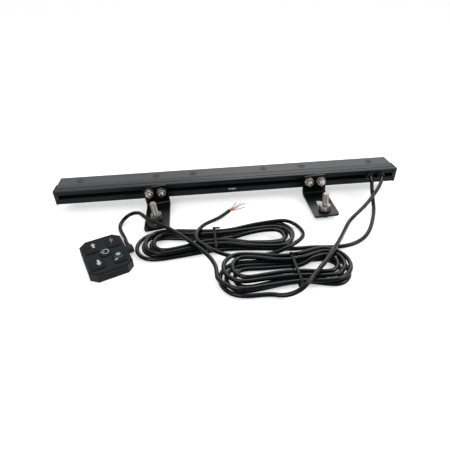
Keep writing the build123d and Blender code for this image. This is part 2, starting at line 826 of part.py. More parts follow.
# Leads: routes are lists of points chosen along the photographed lines
floor_z = floor_level + lead_floor_gap + lead_diameter / 2
wound_half = [wound_inner_half + wound_pitch * step for step in (2, 1, 0)]
layer_low = floor_level + wound_lift + lead_diameter / 2
layer_high = layer_low + wound_layer_step
hank_near = hank_middle_y - wound_half[0]
hank_far = hank_middle_y + wound_half[0]
coil_near = coil_middle_y - wound_half[0]
exit_face = -grommet_collar_height
gland_exit = nose_plane.from_local_coords((0, 0, gland_length / 2 + gland_nose))
gland_step = gland_exit + pad_plane.y_dir * 2 * lead_diameter
coil_exit_x = coil_left - wound_half[0] - wound_pitch / 2
coil_exit_y = coil_middle_y + wound_pitch / 2

power_run_points = [
    (lead_exits[1][0], exit_face, 0),
    (lead_exits[1][0], -11.0, 0),
    (194.6, -19.0, -4.5),
    (192.6, -28.0, -12.0),
    (190.0, -38.5, -19.5),
    (185.0, -51.0, floor_z),
    (176.0, -68.0, floor_z),
    (165.5, -86.0, floor_z),
    (153.0, -102.5, floor_z),
    (136.5, -114.5, floor_z),
    (117.0, -119.5, floor_z),
    (97.0, -118.0, floor_z),
    (79.0, -115.5, floor_z),
    (60.0, hank_near, layer_low),
    (hank_right, hank_near, layer_low),
]
power_tail_points = [
    (hank_right, hank_far, layer_high),
    (53.0, hank_far, layer_high),
    (64.0, -63.8, -20.3),
    (73.8, -68.8, -23.0),
    (79.0, -79.0, floor_z),
    (78.5, -91.0, -23.0),
    (73.5, -103.0, -19.0),
    (64.5, -113.0, -16.8),
    (52.0, -121.0, -17.3),
    (38.0, -123.6, -21.5),
    (22.0, -123.5, floor_z),
    (2.0, -123.8, floor_z),
    (-16.0, -122.5, -21.8),
    (-31.0, -117.5, -16.3),
    (-44.5, -109.0, -12.3),
    (-54.0, -96.0, -12.0),
    (-55.5, -81.0, -12.0),
    (-47.5, -67.5, -12.3),
    (-37.0, -54.5, -17.0),
    (-26.0, -43.0, -22.0),
    (-15.0, -33.0, floor_z),
    (-5.0, -24.5, floor_z),
]
control_run_points = [
    (lead_exits[0][0], exit_face, 0),
    (lead_exits[0][0], -13.0, 0),
    (206.0, -23.0, -2.5),
    (191.5, -35.0, -8.0),
    (174.0, -48.5, -15.5),
    (158.0, -58.5, -21.5),
    (144.5, -69.0, floor_z),
    (133.5, -84.5, floor_z),
    (123.0, -101.0, -21.0),
    (113.0, -117.0, -16.0),
    (102.0, -133.0, -12.0),
    (89.0, -150.0, -11.5),
    (74.0, -166.0, -11.5),
    (60.0, -181.0, -11.5),
    (50.0, -189.5, -15.0),
    (39.5, -191.0, -20.0),
    (29.5, -187.0, layer_low),
    (19.0, coil_near, layer_low),
    (coil_start_x, coil_near, layer_low),
]
control_loop_points = [
    (coil_exit_x, coil_exit_y, layer_high),
    (coil_exit_x, -141.5, layer_high),
    (-38.0, -127.5, -15.5),
    (-50.0, -113.0, -12.3),
    (-62.0, -98.0, -12.0),
    (-73.0, -84.5, -12.0),
    (-85.5, -71.0, -11.5),
    (-99.5, -59.5, -11.0),
    (-112.5, -47.0, -11.0),
    (-118.5, -36.0, -11.5),
    (-124.5, -27.4, -13.0),
    (-133.8, -23.4, -16.0),
    (-143.4, -26.4, -20.0),
    (-149.2, -35.0, -23.3),
    (-150.0, -45.5, floor_z),
    (-146.6, -56.0, floor_z),
    (-141.2, -65.5, -24.2),
    (-136.2, -74.0, -22.5),
    (gland_step.X, gland_step.Y, gland_step.Z),
    (gland_exit.X, gland_exit.Y, gland_exit.Z),
]
corner_run_share = 0.45


def corner_radii(points):
    radii = []
    for before, corner, after in zip(points, points[1:], points[2:]):
        way_in = Vector(corner) - Vector(before)
        way_out = Vector(after) - Vector(corner)
        half_turn = radians(way_in.get_angle(way_out)) / 2
        radii.append(corner_run_share * min(way_in.length, way_out.length) / tan(half_turn))
    return radii


def report_tube(name, tube, length, diameter):
    share = tube.part.volume / (pi * diameter ** 2 / 4 * length)
    print(f"{name}: length {length:.0f} mm, volume over section times length {share:.4f}")


def lead_tube(name, points, diameter=lead_diameter):
    radii = corner_radii(points)
    with BuildPart() as tube:
        with BuildLine() as route:
            FilletPolyline(*points, radius=radii)
        with BuildSketch(Plane(origin=points[0], z_dir=Vector(points[1]) - Vector(points[0]))):
            Circle(diameter / 2)
        sweep()
    print(f"{name}: radii", " ".join(f"{radius:.0f}" for radius in radii))
    report_tube(name, tube, route.wire().length, diameter)
    save(tube, name)


lead_tube("power_lead_run", power_run_points)
lead_tube("power_lead_tail", power_tail_points)
lead_tube("control_lead_run", control_run_points)
lead_tube("control_lead_loop", control_loop_points)


# Wound leads: loops spiral in on the lower layer, climb along the innermost run
# and spiral out again on the upper layer, drawn in at the tie
def draw_sideways(start, end, way, legs):
    start = Vector(*start)
    end = Vector(*end)
    middle = (start + end) / 2
    first = TangentArc(start, middle, tangent=(way, 0, 0))
    second = TangentArc(middle, end, tangent=first % 1)
    legs.extend((first, second))


def wound_run(form, side, half, x_from, x_to, z_from, z_to, legs):
    middle_y, tie_x, waist, left_draw, right_draw = form
    way = 1 if x_to > x_from else -1
    outer_y = middle_y + side * half
    inner_y = middle_y + side * (half - waist)
    draw_in, draw_out = (left_draw, right_draw) if way > 0 else (right_draw, left_draw)
    tie_near = tie_x - way * tie_width / 2
    tie_far = tie_x + way * tie_width / 2
    legs.append(Line((x_from, outer_y, z_from), (tie_near - way * draw_in, outer_y, z_from)))
    draw_sideways((tie_near - way * draw_in, outer_y, z_from), (tie_near, inner_y, z_from), way, legs)
    legs.append(Line((tie_near, inner_y, z_from), (tie_far, inner_y, z_from)))
    draw_sideways((tie_far, inner_y, z_from), (tie_far + way * draw_out, outer_y, z_to), way, legs)
    legs.append(Line((tie_far + way * draw_out, outer_y, z_to), (x_to, outer_y, z_to)))


def wound_turn(form, end_x, way, half_from, half_to, side, z, legs):
    y_from = form[0] + side * half_from
    y_to = form[0] - side * half_to
    reach = (half_from + half_to) / 2
    middle = (end_x + way * reach, (y_from + y_to) / 2, z)
    legs.append(ThreePointArc((end_x, y_from, z), middle, (end_x, y_to, z)))


def least_gap(legs, diameter):
    points = []
    travelled = 0.0
    for leg in legs:
        count = max(2, int(leg.length / diameter * 2))
        points += [(travelled + leg.length * step / count, leg @ (step / count)) for step in range(count)]
        travelled += leg.length
    gap = travelled
    for index, (place, point) in enumerate(points):
        for other_place, other in points[index + 1:]:
            if other_place - place > pi * diameter:
                gap = min(gap, hypot(point.X - other.X, point.Y - other.Y, point.Z - other.Z) - diameter)
    return gap


def wound_lead(name, form, left_x, right_x, start_x, leaves_left):
    wide, mid, small = wound_half
    legs = []
    with BuildPart() as wound:
        with BuildLine() as route:
            low, high = layer_low, layer_high
            if start_x < form[1]:
                legs.append(Line((start_x, form[0] - wide, low), (left_x, form[0] - wide, low)))
            else:
                wound_run(form, -1, wide, start_x, left_x, low, low, legs)
            for half, next_half in ((wide, mid), (mid, small)):
                wound_turn(form, left_x, -1, half, half, -1, low, legs)
                wound_run(form, 1, half, left_x, right_x, low, low, legs)
                wound_turn(form, right_x, 1, half, next_half, 1, low, legs)
                wound_run(form, -1, next_half, right_x, left_x, low, low, legs)
            wound_turn(form, left_x, -1, small, small, -1, low, legs)
            wound_run(form, 1, small, left_x, right_x, low, high, legs)
            for half, next_half in ((small, mid), (mid, wide)):
                wound_turn(form, right_x, 1, half, half, 1, high, legs)
                wound_run(form, -1, half, right_x, left_x, high, high, legs)
                wound_turn(form, left_x, -1, half, next_half, -1, high, legs)
                wound_run(form, 1, next_half, left_x, right_x, high, high, legs)
            if leaves_left:
                wound_turn(form, right_x, 1, wide, wide, 1, high, legs)
                wound_run(form, -1, wide, right_x, left_x, high, high, legs)
                turn_radius = wide + wound_pitch / 2
                centre_y = form[0] + wound_pitch / 2
                slant = turn_radius * sin(pi / 4)
                legs.append(
                    ThreePointArc(
                        (left_x, form[0] - wide, high),
                        (left_x - slant, centre_y - slant, high),
                        (left_x - turn_radius, centre_y, high),
                    )
                )
        with BuildSketch(Plane(origin=legs[0] @ 0, z_dir=legs[0] % 0)):
            Circle(lead_diameter / 2)
        sweep()
    print(f"{name}: least gap to itself {least_gap(legs, lead_diameter):.2f} mm")
    report_tube(name, wound, sum(leg.length for leg in legs), lead_diameter)
    save(wound, name)


hank_form = (hank_middle_y, hank_tie_x, hank_waist, hank_left_draw, hank_right_draw)
coil_form = (coil_middle_y, coil_tie_x, coil_waist, coil_left_draw, coil_right_draw)
wound_lead("power_lead_hank", hank_form, hank_left, hank_right, hank_right, False)
wound_lead("control_lead_coil", coil_form, coil_left, coil_right, coil_start_x, True)


# Ties: a flat band round the drawn-in strands, with its ends twisted together on top
def tie_band(name, form):
    reach = wound_half[0] - form[2] + lead_diameter / 2 + tie_gap
    height = wound_layer_step + lead_diameter + 2 * tie_gap
    middle_z = (layer_low + layer_high) / 2
    with BuildPart() as tie:
        with BuildSketch(Plane.YZ.offset(form[1] - tie_width / 2)):
            with Locations((form[0], middle_z)):
                RectangleRounded(
                    2 * (reach + tie_thickness), height + 2 * tie_thickness, lead_diameter / 2 + tie_thickness
                )
                RectangleRounded(2 * reach, height, lead_diameter / 2, mode=Mode.SUBTRACT)
        extrude(amount=tie_width)
        with BuildSketch(Plane.YZ.offset(form[1] - tie_width / 2)):
            twist_rise = middle_z + height / 2 + tie_twist_diameter / 2
            with Locations((form[0] + reach - lead_diameter, twist_rise)):
                Circle(tie_twist_diameter / 2)
        extrude(amount=tie_twist_length)
    save(tie, name)


tie_band("hank_tie", hank_form)
tie_band("coil_tie", coil_form)

# Bared wires at the end of the power lead
tail_end = Vector(*power_tail_points[-1])
tail_way = (tail_end - Vector(*power_tail_points[-2])).normalized()
tail_side = tail_way.cross(Vector(0, 0, 1))
wire_step = wire_diameter / 2 + thread_play
wire_ends = {
    "wire_red": [(-1, 1), (4.8, -19.3, -23.3), (11.5, -16.0, -22.3), (18.5, -12.8, -21.6)],
    "wire_yellow": [(1, 1), (1.2, -18.2, -23.2), (4.2, -13.2, -22.2), (6.2, -8.6, -21.6)],
    "wire_brown": [(-1, -1), (4.5, -22.4, -24.6), (10.8, -22.2, -23.6), (17.0, -21.2, -22.8)],
    "wire_black": [(1, -1), (3.6, -17.8, -24.9), (8.4, -13.2, -24.2), (12.8, -8.9, -23.2)],
}
for wire_name, ((across, up), *spots) in wire_ends.items():
    start = tail_end - tail_side * across * wire_step + Vector(0, 0, up * wire_step)
    leave = start + tail_way * 2 * wire_diameter
    lead_tube(wire_name, [tuple(start), tuple(leave), *spots], wire_diameter)
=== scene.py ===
from math import cos, pi, radians, sin, tan

import bmesh
import bpy
from mathutils import Matrix, Vector


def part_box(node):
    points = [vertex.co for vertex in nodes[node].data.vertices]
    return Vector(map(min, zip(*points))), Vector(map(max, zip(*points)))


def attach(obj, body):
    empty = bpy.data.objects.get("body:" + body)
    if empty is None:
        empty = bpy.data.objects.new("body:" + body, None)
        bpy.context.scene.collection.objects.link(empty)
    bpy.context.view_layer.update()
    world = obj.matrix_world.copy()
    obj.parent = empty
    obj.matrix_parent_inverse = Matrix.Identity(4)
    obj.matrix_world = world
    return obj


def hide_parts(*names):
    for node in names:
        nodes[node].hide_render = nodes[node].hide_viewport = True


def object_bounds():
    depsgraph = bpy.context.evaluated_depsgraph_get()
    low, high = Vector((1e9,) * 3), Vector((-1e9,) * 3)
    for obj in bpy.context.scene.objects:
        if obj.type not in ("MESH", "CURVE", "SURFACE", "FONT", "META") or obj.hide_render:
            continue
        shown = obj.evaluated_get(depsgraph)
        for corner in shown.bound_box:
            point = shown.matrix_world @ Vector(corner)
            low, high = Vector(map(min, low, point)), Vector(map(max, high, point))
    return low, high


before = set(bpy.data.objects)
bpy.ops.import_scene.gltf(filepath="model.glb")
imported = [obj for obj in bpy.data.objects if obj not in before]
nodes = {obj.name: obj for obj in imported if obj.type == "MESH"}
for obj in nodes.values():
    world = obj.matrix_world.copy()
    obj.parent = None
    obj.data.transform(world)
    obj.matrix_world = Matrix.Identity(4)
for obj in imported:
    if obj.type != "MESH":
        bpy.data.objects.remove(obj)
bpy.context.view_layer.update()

mm = 0.001
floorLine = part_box("left_roof_bolt")[0].z / mm  # the table, level with the roof bolts' heads


def addObject(name, data):
    piece = bpy.data.objects.new(name, data)
    bpy.context.scene.collection.objects.link(piece)
    return piece


def shifted(*spot):  # a move given in millimetres
    return Matrix.Translation(Vector(spot) * mm)


# The view was fitted to the bar, its brackets and the key pad in the photograph
view = {
    "yaw": -0.0829, "pitch": 0.6063, "roll": 0.0300, "place": (-0.04594, -0.44293, 0.24389),
    "lens": 29.6, "sensor": 36.0, "clip": (0.01, 20.0),
}
cameraData = bpy.data.cameras.new("viewCamera")
cameraData.sensor_width = view["sensor"]
cameraData.lens = view["lens"]
cameraData.clip_start, cameraData.clip_end = view["clip"]
camera = addObject("viewCamera", cameraData)
turn = (
    Matrix.Rotation(view["yaw"], 3, "Z")
    @ Matrix.Rotation(-view["pitch"], 3, "X")
    @ Matrix.Rotation(view["roll"], 3, "Y")
)
right, forward, up = turn.col[0], turn.col[1], turn.col[2]
cameraPose = Matrix((right, up, -forward)).transposed().to_4x4()
cameraPose.translation = Vector(view["place"])
camera.matrix_world = cameraPose
bpy.context.scene.camera = camera
print("camera placed")


# Materials
def linear(code):
    values = [int(code[i:i + 2], 16) / 255 for i in (1, 3, 5)]
    return [v / 12.92 if v <= 0.04045 else ((v + 0.055) / 1.055) ** 2.4 for v in values] + [1.0]


# A key with a capital is a socket, and a small one a setting. Sockets that share a name, as those of math
# and mix nodes do, go by number. A socket takes a value, a colour code or another node's output
def addNode(tree, kind, numbered=(), **named):
    node = tree.nodes.new(kind)
    sockets = dict(numbered)
    for key, value in named.items():
        if key[0].isupper():
            sockets[key.replace("_", " ")] = value
        else:
            setattr(node, key, value)
    for key, value in sockets.items():
        if isinstance(value, bpy.types.NodeSocket):
            tree.links.new(value, node.inputs[key])
        else:
            node.inputs[key].default_value = linear(value) if isinstance(value, str) else value
    return node


sideShadeRange = {"From_Min": 0.2, "From_Max": 0.7}  # how far a face's normal rises, from side to top: the sides get the painted shade
edgeWearAndGlint = {"radius": 0.5, "From_Min": 0.99, "From_Max": 0.8}  # edges this sharp within the radius get a paler colour, as wear and as painted glint


# Two tones in broad patches, a fine relief and an uneven gloss. The edge colour is painted on sharp edges,
# as wear and as their glint, and the under colour and gloss paint faces that don't look up darker, as shade
def finish(name, dark, light, rough, roughSpread=0.1, metal=0.0, gloss=0.5, grain=2500.0, bump=0.15, depth=0.05,
           stretch=(1, 1, 1), patch=60.0, coat=0.0, wearAndGlint=None, under=None, **extra):
    material = bpy.data.materials.new(name)
    material.use_nodes = True
    tree = material.node_tree
    shader = tree.nodes["Principled BSDF"]
    place = addNode(tree, "ShaderNodeTexCoord").outputs["Object"]
    drawn = addNode(tree, "ShaderNodeMapping", Vector=place, Scale=stretch).outputs[0]
    fine = addNode(tree, "ShaderNodeTexNoise", Vector=drawn, Scale=grain, Detail=3.0).outputs[0]
    broad = addNode(tree, "ShaderNodeTexNoise", Vector=place, Scale=patch, Detail=4.0).outputs[0]
    colour = addNode(tree, "ShaderNodeMix", {0: broad, 6: dark, 7: light}, data_type="RGBA").outputs[2]
    shader.inputs["Specular IOR Level"].default_value = gloss
    # Painted shade: faces that don't look up get a darker colour and less gloss
    if under:
        sideShadeColour, sideShadeGloss = under
        normal = addNode(tree, "ShaderNodeNewGeometry").outputs["Normal"]
        height = addNode(tree, "ShaderNodeSeparateXYZ", Vector=normal).outputs["Z"]
        sideShadeMask = addNode(tree, "ShaderNodeMapRange", Value=height, **sideShadeRange).outputs[0]
        colour = addNode(tree, "ShaderNodeMix", {0: sideShadeMask, 6: sideShadeColour, 7: colour}, data_type="RGBA").outputs[2]
        shadedGloss = addNode(tree, "ShaderNodeMapRange", Value=height, To_Min=sideShadeGloss, To_Max=gloss, **sideShadeRange)
        tree.links.new(shadedGloss.outputs[0], shader.inputs["Specular IOR Level"])
    # Painted highlight and wear: sharp edges found by the bevel get a paler colour, standing for both rubbed metal and
    # its glint
    if wearAndGlint:
        rounded = addNode(tree, "ShaderNodeBevel", samples=4, Radius=edgeWearAndGlint["radius"] * mm).outputs[0]
        facet = addNode(tree, "ShaderNodeNewGeometry").outputs["True Normal"]
        along = addNode(tree, "ShaderNodeVectorMath", {0: rounded, 1: facet}, operation="DOT_PRODUCT").outputs["Value"]
        edge = addNode(tree, "ShaderNodeMapRange", Value=along,
                       From_Min=edgeWearAndGlint["From_Min"], From_Max=edgeWearAndGlint["From_Max"]).outputs[0]
        wornAndGlinting = addNode(tree, "ShaderNodeMath", {0: edge, 1: broad}, operation="MULTIPLY").outputs[0]
        colour = addNode(tree, "ShaderNodeMix", {0: wornAndGlinting, 6: colour, 7: wearAndGlint}, data_type="RGBA").outputs[2]
    tree.links.new(colour, shader.inputs["Base Color"])
    spread = addNode(tree, "ShaderNodeMapRange", Value=broad, From_Min=0.3, From_Max=0.7,
                     To_Min=max(0.03, rough - roughSpread), To_Max=rough + roughSpread)
    tree.links.new(spread.outputs[0], shader.inputs["Roughness"])
    relief = addNode(tree, "ShaderNodeBump", Height=fine, Strength=bump, Distance=depth * mm)
    tree.links.new(relief.outputs[0], shader.inputs["Normal"])
    shader.inputs["Metallic"].default_value = metal
    shader.inputs["Coat Weight"].default_value = coat
    for key, value in extra.items():
        shader.inputs[key.replace("_", " ")].default_value = value
    return material


# Drawn aluminium dyed black: faint lengthwise lines, and sharp edges painted pale, as wear and as glint. On the
# charcoal one, faces that don't look up are painted darker and duller, as shade
anodised = finish("anodised charcoal extrusion", "#101114", "#17181b", 0.34, 0.04, gloss=0.4, grain=1500,
                  stretch=(0.04, 1, 1), bump=0.1, depth=0.03, wearAndGlint="#5a5c60", under=("#04070c", 0.14))
anodisedFrame = finish("anodised black extrusion", "#0c0d0f", "#121316", 0.34, 0.04, gloss=0.2, grain=1500,
                       stretch=(0.04, 1, 1), bump=0.1, depth=0.03, wearAndGlint="#56585c")
# Baked powder: a soft grey sheen with no clear reflection, broken by a very fine orange peel
satinCoat = finish("satin charcoal powder coat", "#2a2b2d", "#333436", 0.42, 0.04, gloss=0.5, grain=2200,
                   bump=0.2, depth=0.04)
# A thicker, glossier powder: near black faces, and one light line along each folded edge. Sharp edges are painted
# paler, as wear and as glint, and faces that don't look up darker and duller, as painted shade
blackCoat = finish("black powder coat", "#060708", "#0b0c0d", 0.3, 0.05, gloss=0.34, grain=1800, bump=0.35,
                   depth=0.05, wearAndGlint="#2c2d30", under=("#030406", 0.16))
# Spark textured moulds: dull black that never mirrors, with a fine grain close up
capPlastic = finish("moulded black end cap plastic", "#0b0c0e", "#121315", 0.42, 0.05, gloss=0.25, grain=3000,
                    bump=0.3)
# The pad's sharp edges are painted paler, as wear and as glint
padPlastic = finish("fine grained keypad plastic", "#0d0f13", "#13161b", 0.46, 0.05, gloss=0.16, grain=3800,
                    bump=0.45, depth=0.05, wearAndGlint="#34373c")
# Soft rubber: smoother than the plastic round it, and a shade flatter
keyRubber = finish("silicone key rubber", "#0b0c0e", "#0f1013", 0.45, 0.06, gloss=0.14, grain=3000, bump=0.15)
# Injection moulded rubber: matt and even, a little paler than the pad
moulded = finish("black moulded rubber", "#0b0c0d", "#131415", 0.55, 0.08, gloss=0.3, grain=2500, bump=0.3)
# Extruded vinyl: a long narrow highlight runs along the top of each strand, and its sides are painted near black and
# duller, as shade
sheath = finish("satin black cable sheath", "#050609", "#090a0e", 0.22, 0.05, gloss=0.32, grain=900, bump=0.2,
                depth=0.06, patch=35.0, under=("#010203", 0.06))
# Rolled and turned steel, uncoated: warm grey with bright flats and dark thread roots
stainless = finish("stainless steel", "#a5a29c", "#c6c3bc", 0.27, 0.05, metal=1.0, grain=1800, bump=0.03,
                   depth=0.02, stretch=(1, 1, 0.2))
# Steel left dull by its zinc bath: mid grey, with soft light lines
dullSteel = finish("dull zinc plated steel", "#8a867e", "#a6a29a", 0.4, 0.06, metal=1.0, grain=1800, bump=0.04,
                   depth=0.02, stretch=(1, 1, 0.2))
# Zinc with a black passivate: dark metal that still glints on its rims
blackScrew = finish("black zinc screw", "#141516", "#222325", 0.34, 0.1, metal=0.6, grain=1500, bump=0.1)
# Drawn and tinned copper: thin grey strands with a small glint
copper = finish("tinned copper strand", "#857a72", "#a39a92", 0.35, 0.08, metal=1.0, grain=4000, bump=0.2)
# Resist over glass fibre, phosphor gel and vacuum plating: green board, yellow chips, bright cups
board = finish("circuit board", "#0c3a20", "#12502c", 0.4, 0.06, grain=600, bump=0.2)
lampChip = finish("lamp chip", "#d9b13c", "#e8c65c", 0.3, 0.05, grain=900, coat=0.4)
plated = finish("plated reflector", "#b9bcc0", "#d5d8db", 0.12, 0.04, metal=1.0, grain=800, bump=0.05)
# Pad printed ink on rubber: flat pale marks, and greyer ones where thumbs have rubbed
paleInk = finish("printed key symbol", "#95a5ab", "#aebcc1", 0.45, 0.05, grain=3000, bump=0.1)
wornInk = finish("worn key symbol", "#565b62", "#6d737a", 0.5, 0.05, grain=3000, bump=0.1)
# Injection moulded lens: clear, with a sharp highlight
clear = finish("clear polycarbonate", "#eef1f3", "#f6f8f9", 0.06, 0.02, grain=700, bump=0.02,
               Transmission_Weight=0.92, IOR=1.58)
# Thin coloured vinyl over each wire's copper
wireLooks = {
    "Red": finish("red wire sheath", "#b8424a", "#c9565c", 0.4, 0.05, bump=0.1),
    "Yellow": finish("yellow wire sheath", "#a89c3e", "#bdae52", 0.4, 0.05, bump=0.1),
    "Brown": finish("tan wire sheath", "#b07a50", "#c48e62", 0.4, 0.05, bump=0.1),
    "Black": finish("black wire sheath", "#16171a", "#1e2023", 0.35, 0.05, bump=0.1),
}

# Bare aluminium showing through where a tool has slipped on the slot's lower and upper lip, painted as pale flecked
# patches that stand for both the bare metal and its glint
paleScuffGlints = [
    {"centre": (2.5, 0, -4.6), "size": (6.5, 3.0, 1.3), "colour": "#c3c7cb"},
    {"centre": (1.5, 0, 3.5), "size": (4.0, 3.0, 0.6), "colour": "#8d9196"},
]


# Mixes a pale flecked patch into a material's colour: partly bare metal, partly a painted highlight
def paintScuffGlint(material, centre, size, colour):
    tree = material.node_tree
    base = tree.nodes["Principled BSDF"].inputs["Base Color"]
    place = addNode(tree, "ShaderNodeTexCoord").outputs["Object"]
    offset = addNode(tree, "ShaderNodeVectorMath", {0: place, 1: Vector(centre) * mm}, operation="SUBTRACT")
    scaled = addNode(tree, "ShaderNodeVectorMath", {0: offset.outputs[0], 1: Vector(size) * mm}, operation="DIVIDE")
    far = addNode(tree, "ShaderNodeVectorMath", {0: scaled.outputs[0]}, operation="LENGTH").outputs["Value"]
    near = addNode(tree, "ShaderNodeMapRange", Value=far, From_Min=1.0, From_Max=0.7).outputs[0]
    speck = addNode(tree, "ShaderNodeTexNoise", Vector=place, Scale=700.0, Detail=2.0).outputs[0]
    flecks = addNode(tree, "ShaderNodeMapRange", Value=speck, From_Min=0.44, From_Max=0.56).outputs[0]
    both = addNode(tree, "ShaderNodeMath", {0: near, 1: flecks}, operation="MULTIPLY").outputs[0]
    plain = base.links[0].from_socket
    scuffGlintColour = addNode(tree, "ShaderNodeMix", {0: both, 6: plain, 7: colour}, data_type="RGBA").outputs[2]
    tree.links.new(scuffGlintColour, base)


for spot in paleScuffGlints:
    paintScuffGlint(anodised, **spot)

# The finish of each piece that keeps its CAD shape
looks = {
    anodised: ["rear_housing", "cover_screws"],
    anodisedFrame: ["lamp_frame"],
    satinCoat: ["top_cover"],
    capPlastic: ["end_cap_left", "end_cap_right"],
    blackScrew: ["end_cap_screws", "keypad_screws", "left_roof_washer", "right_roof_washer"],
    clear: ["lens"],
    moulded: ["lens_gasket", "cable_grommets", "keypad_gland"],
    board: ["led_board", "driver_board", "keypad_board"],
    lampChip: ["leds"],
    plated: ["reflectors"],
    blackCoat: ["left_bracket", "right_bracket"],
    padPlastic: ["keypad_base", "keypad_cover"],
    keyRubber: ["key_up", "key_down", "key_power", "key_mode", "key_brightness"],
    stainless: ["left_washers", "right_washers", "left_nuts", "right_nuts"],
    dullSteel: ["left_roof_nut", "right_roof_nut"],
}
for material, names in looks.items():
    for name in names:
        for materialSlot in nodes[name].material_slots:
            materialSlot.link = "OBJECT"
            materialSlot.material = material
print("materials set")


def meshPiece(name, bm, material, body="root", smooth=True):
    mesh = bpy.data.meshes.new(name)
    bmesh.ops.recalc_face_normals(bm, faces=bm.faces)
    bm.to_mesh(mesh)
    bm.free()
    mesh.materials.append(material)
    for face in mesh.polygons:
        face.use_smooth = smooth
    piece = addObject(name, mesh)
    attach(piece, body)
    return piece


# Round wires of one thickness, each along its own list of control points in millimetres
def roundCurve(name, routes, diameter, material, roundness=6):
    curve = bpy.data.curves.new(name, "CURVE")
    curve.dimensions = "3D"
    for points in routes:
        spline = curve.splines.new("NURBS")
        spline.points.add(len(points) - 1)
        for point, spot in zip(spline.points, points):
            point.co = (*(value * mm for value in spot), 1.0)
        spline.order_u = 3
        spline.use_endpoint_u = True
        spline.resolution_u = 6
    curve.bevel_depth = diameter / 2 * mm
    curve.bevel_resolution = roundness
    curve.use_fill_caps = True
    curve.materials.append(material)
    piece = addObject(name, curve)
    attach(piece, "root")
    return piece


# Leads. Both lie wound in loops of three sizes, in to the smallest on a lower layer and out again on an upper one
lead = {
    "diameter": 4.8,
    "onFloor": 0.1,  # gap under a strand that lies alone
    "underBundle": 1.0,  # gap under the lower layer
    "layerRise": 5.4,
    "halves": (26.2, 20.4, 14.6),  # half the width of each loop
    "exitStep": 2.9,  # how far past the widest loop the control lead leaves its coil
    "tieHalf": 1.6,  # the tie holds the strands straight this far to each side
}
floorZ = floorLine + lead["onFloor"] + lead["diameter"] / 2
layerLow = floorLine + lead["underBundle"] + lead["diameter"] / 2
layerHigh = layerLow + lead["layerRise"]

# waist: how far the tie draws the strands in. draws: over what length, left and right of it.
# ends: where the loops turn back. squeeze: how far their long sides sink inwards beyond the tie.
# lefts and rights: for each turn in order its shift sideways, its reach outwards and its pinch at the tie,
# which come in full at a distance of spread from the tie
hank = {
    "y": -91.8, "tie": -29.0, "waist": 9.0, "draws": (45.0, 60.0), "ends": (-89.0, 43.0), "spread": 55.0,
    "squeeze": (4.5, 3.5),
    "lefts": [(0.2, 6.0, 0), (1.0, 4.0, 0.5), (1.6, 1.0, 1.0), (-3.0, -6.0, 2.5), (-3.0, -2.0, 1.5), (-2.5, 0, 0)],
    "rights": [(4.4, 0, 0), (4.4, 0, 0.5), (4.4, -2.0, 2.0), (-5.5, -5.0, 2.5), (-5.5, -2.0, 1.5), (0, 0, 6.4)],
}
coil = {
    "y": -155.0, "tie": 52.0, "waist": 5.0, "draws": (45.0, 29.0), "ends": (-3.0, 85.0), "spread": 45.0,
    "squeeze": (3.0, 1.5),
    "lefts": [(-4.0, 0, 0), (-4.0, -1.0, 0), (-4.0, -4.0, 0), (5.0, -6.0, 5.0), (5.0, -2.0, 3.0), (0, 0, 0)],
    "rights": [(0, 0, 0), (-5.5, 0, 0), (-5.5, -2.0, 0), (4.5, -1.5, 3.0), (4.5, 0, 2.0), (3.5, 0, 0)],
}


# Fans the loops out, more so the further a point lies from the tie
def fanned(form, point, turns):
    sideways, reach, pinch = turns[0] if point[0] < form["tie"] else turns[1]
    share = min(1.0, max(0.0, (abs(point[0] - form["tie"]) - lead["tieHalf"]) / form["spread"]))
    way = 1 if point[0] > form["tie"] else -1
    side = 1 if point[1] > form["y"] else -1
    return (point[0] + way * reach * share, point[1] + sideways * share - side * pinch * (1 - share), point[2])


# One long side of a loop through the tie; side is its place behind or before the middle, way its direction
def woundRun(form, side, half, way, zFrom, zTo):
    inner = form["y"] + side * (half - form["waist"])
    drawIn, drawOut = form["draws"] if way > 0 else form["draws"][::-1]
    outerIn, outerOut = (form["y"] + side * (half - squeeze) for squeeze in form["squeeze"][::way])
    tie, tieHalf = form["tie"], lead["tieHalf"]
    return [
        (tie - way * (tieHalf + 0.75 * drawIn), outerIn, zFrom),
        (tie - way * (tieHalf + 0.25 * drawIn), inner, zFrom),
        (tie + way * (tieHalf + 0.25 * drawOut), inner, zFrom),
        (tie + way * (tieHalf + 0.75 * drawOut), outerOut, zTo),
    ]


# One half turn at an end of the bundle, which may also step to the next loop's width
def woundTurn(form, endX, way, halfFrom, halfTo, side, z):
    radius = (halfFrom + halfTo) / 2
    centre = form["y"] + side * (halfFrom - halfTo) / 2
    step = radius * tan(pi / 8)
    return [
        (endX + way * step, form["y"] + side * halfFrom, z),
        (endX + way * radius, centre + side * step, z),
        (endX + way * radius, centre - side * step, z),
        (endX + way * step, form["y"] - side * halfTo, z),
    ]


